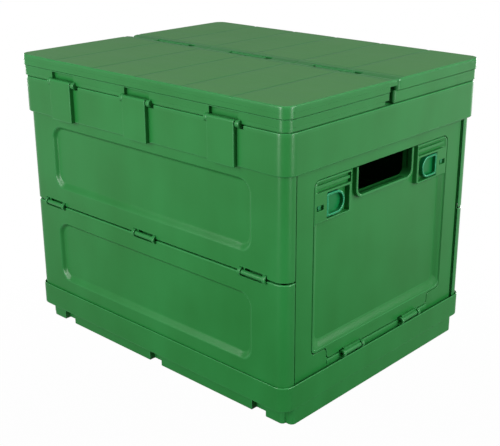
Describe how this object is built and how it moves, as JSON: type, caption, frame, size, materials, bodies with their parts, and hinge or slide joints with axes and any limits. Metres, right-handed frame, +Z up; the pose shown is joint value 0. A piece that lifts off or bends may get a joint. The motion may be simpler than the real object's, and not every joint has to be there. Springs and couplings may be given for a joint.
{
  "type": "collapsible storage crate",
  "caption": "Collapsible lidded plastic storage crate with folding long walls, drop doors in swing-up end walls, sliding latches and a bi-fold lid.",
  "frame": {"origin": "centre of the footprint, at the height of the surface that the crate stands on", "axes": "+X along the long side towards the right end wall, +Y towards the rear, away from the lid hinges on the collar, +Z up"},
  "size_m": [0.432, 0.3513, 0.3484],
  "materials": {
    "crate_plastic": "moulded polypropylene, satin, fine moulded grain",
    "latch_plastic": "moulded polypropylene, satin",
    "hinge_pin_steel": "drawn wire"
  },
  "bodies": {
    "base": {"base_tray": "crate_plastic", "front_base_pin_left": "hinge_pin_steel", "front_base_pin_right": "hinge_pin_steel", "rear_base_pin_left": "hinge_pin_steel", "rear_base_pin_right": "hinge_pin_steel"},
    "front_lower": {"front_lower_panel": "crate_plastic", "front_fold_pin_left": "hinge_pin_steel", "front_fold_pin_centre": "hinge_pin_steel", "front_fold_pin_right": "hinge_pin_steel"},
    "front_upper": {"front_upper_panel": "crate_plastic"},
    "rear_lower": {"rear_lower_panel": "crate_plastic", "rear_fold_pin_left": "hinge_pin_steel", "rear_fold_pin_centre": "hinge_pin_steel", "rear_fold_pin_right": "hinge_pin_steel"},
    "rear_upper": {"rear_upper_panel": "crate_plastic"},
    "top": {"top_frame": "crate_plastic", "front_collar_pin_left": "hinge_pin_steel", "front_collar_pin_right": "hinge_pin_steel", "rear_collar_pin_left": "hinge_pin_steel", "rear_collar_pin_right": "hinge_pin_steel", "right_end_pin_near": "hinge_pin_steel", "right_end_pin_far": "hinge_pin_steel", "left_end_pin_near": "hinge_pin_steel", "left_end_pin_far": "hinge_pin_steel", "lid_hinge_pin_left": "hinge_pin_steel", "lid_hinge_pin_centre": "hinge_pin_steel", "lid_hinge_pin_right": "hinge_pin_steel"},
    "lid_front": {"lid_front_leaf": "crate_plastic", "lid_seam_pin_left": "hinge_pin_steel", "lid_seam_pin_centre": "hinge_pin_steel", "lid_seam_pin_right": "hinge_pin_steel"},
    "lid_rear": {"lid_rear_leaf": "crate_plastic"},
    "right_end": {"right_end_frame": "crate_plastic", "right_door_pin_near": "hinge_pin_steel", "right_door_pin_far": "hinge_pin_steel"},
    "left_end": {"left_end_frame": "crate_plastic", "left_door_pin_near": "hinge_pin_steel", "left_door_pin_far": "hinge_pin_steel"},
    "right_drop_door": {"right_door": "crate_plastic"},
    "left_drop_door": {"left_door": "crate_plastic"},
    "right_near_latch": {"right_latch_near": "latch_plastic"},
    "right_far_latch": {"right_latch_far": "latch_plastic"},
    "left_near_latch": {"left_latch_near": "latch_plastic"},
    "left_far_latch": {"left_latch_far": "latch_plastic"}
  },
  "joints": [
    {"name": "wall_fold", "type": "hinge", "parent": "base", "child": "front_lower", "pos_m": [0, -0.1608, 0.0392], "axis": [1, 0, 0], "range_deg": [-3, 0]},
    {"name": "front_upper_fold", "type": "hinge", "parent": "front_lower", "child": "front_upper", "pos_m": [0, -0.1671, 0.1652], "axis": [1, 0, 0], "range_deg": [0, 6]},
    {"name": "top_level", "type": "hinge", "parent": "front_upper", "child": "top", "pos_m": [0, -0.1608, 0.2912], "axis": [1, 0, 0], "range_deg": [-3, 0]},
    {"name": "rear_lower_fold", "type": "hinge", "parent": "base", "child": "rear_lower", "pos_m": [0, 0.1652, 0.0392], "axis": [1, 0, 0], "range_deg": [0, 3]},
    {"name": "rear_upper_fold", "type": "hinge", "parent": "rear_lower", "child": "rear_upper", "pos_m": [0, 0.1715, 0.1652], "axis": [1, 0, 0], "range_deg": [-6, 0]},
    {"name": "lid_front_hinge", "type": "hinge", "parent": "top", "child": "lid_front", "pos_m": [0, -0.1711, 0.3227], "axis": [1, 0, 0], "range_deg": [0, 150]},
    {"name": "lid_seam_hinge", "type": "hinge", "parent": "lid_front", "child": "lid_rear", "pos_m": [0, 0.0067, 0.3468], "axis": [1, 0, 0], "range_deg": [0, 160]},
    {"name": "right_end_swing", "type": "hinge", "parent": "top", "child": "right_end", "pos_m": [0.2043, 0.0022, 0.3185], "axis": [0, -1, 0], "range_deg": [-90, 0]},
    {"name": "left_end_swing", "type": "hinge", "parent": "top", "child": "left_end", "pos_m": [-0.2043, 0.0022, 0.3005], "axis": [0, 1, 0], "range_deg": [-90, 0]},
    {"name": "right_door_drop", "type": "hinge", "parent": "right_end", "child": "right_drop_door", "pos_m": [0.21175, 0.0022, 0.0545], "axis": [0, 1, 0], "range_deg": [0, 100]},
    {"name": "left_door_drop", "type": "hinge", "parent": "left_end", "child": "left_drop_door", "pos_m": [-0.21175, 0.0022, 0.0545], "axis": [0, -1, 0], "range_deg": [0, 100]},
    {"name": "right_near_latch_slide", "type": "slide", "parent": "right_drop_door", "child": "right_near_latch", "axis": [0, 1, 0], "range_m": [0, 0.007]},
    {"name": "right_far_latch_slide", "type": "slide", "parent": "right_drop_door", "child": "right_far_latch", "axis": [0, -1, 0], "range_m": [0, 0.007]},
    {"name": "left_near_latch_slide", "type": "slide", "parent": "left_drop_door", "child": "left_near_latch", "axis": [0, 1, 0], "range_m": [0, 0.007]},
    {"name": "left_far_latch_slide", "type": "slide", "parent": "left_drop_door", "child": "left_far_latch", "axis": [0, -1, 0], "range_m": [0, 0.007]}
  ],
  "couplings": [
    {"joint": "front_upper_fold", "follows": "wall_fold", "ratio": -2},
    {"joint": "top_level", "follows": "wall_fold", "ratio": 1},
    {"joint": "rear_lower_fold", "follows": "wall_fold", "ratio": -1},
    {"joint": "rear_upper_fold", "follows": "wall_fold", "ratio": 2}
  ]
}
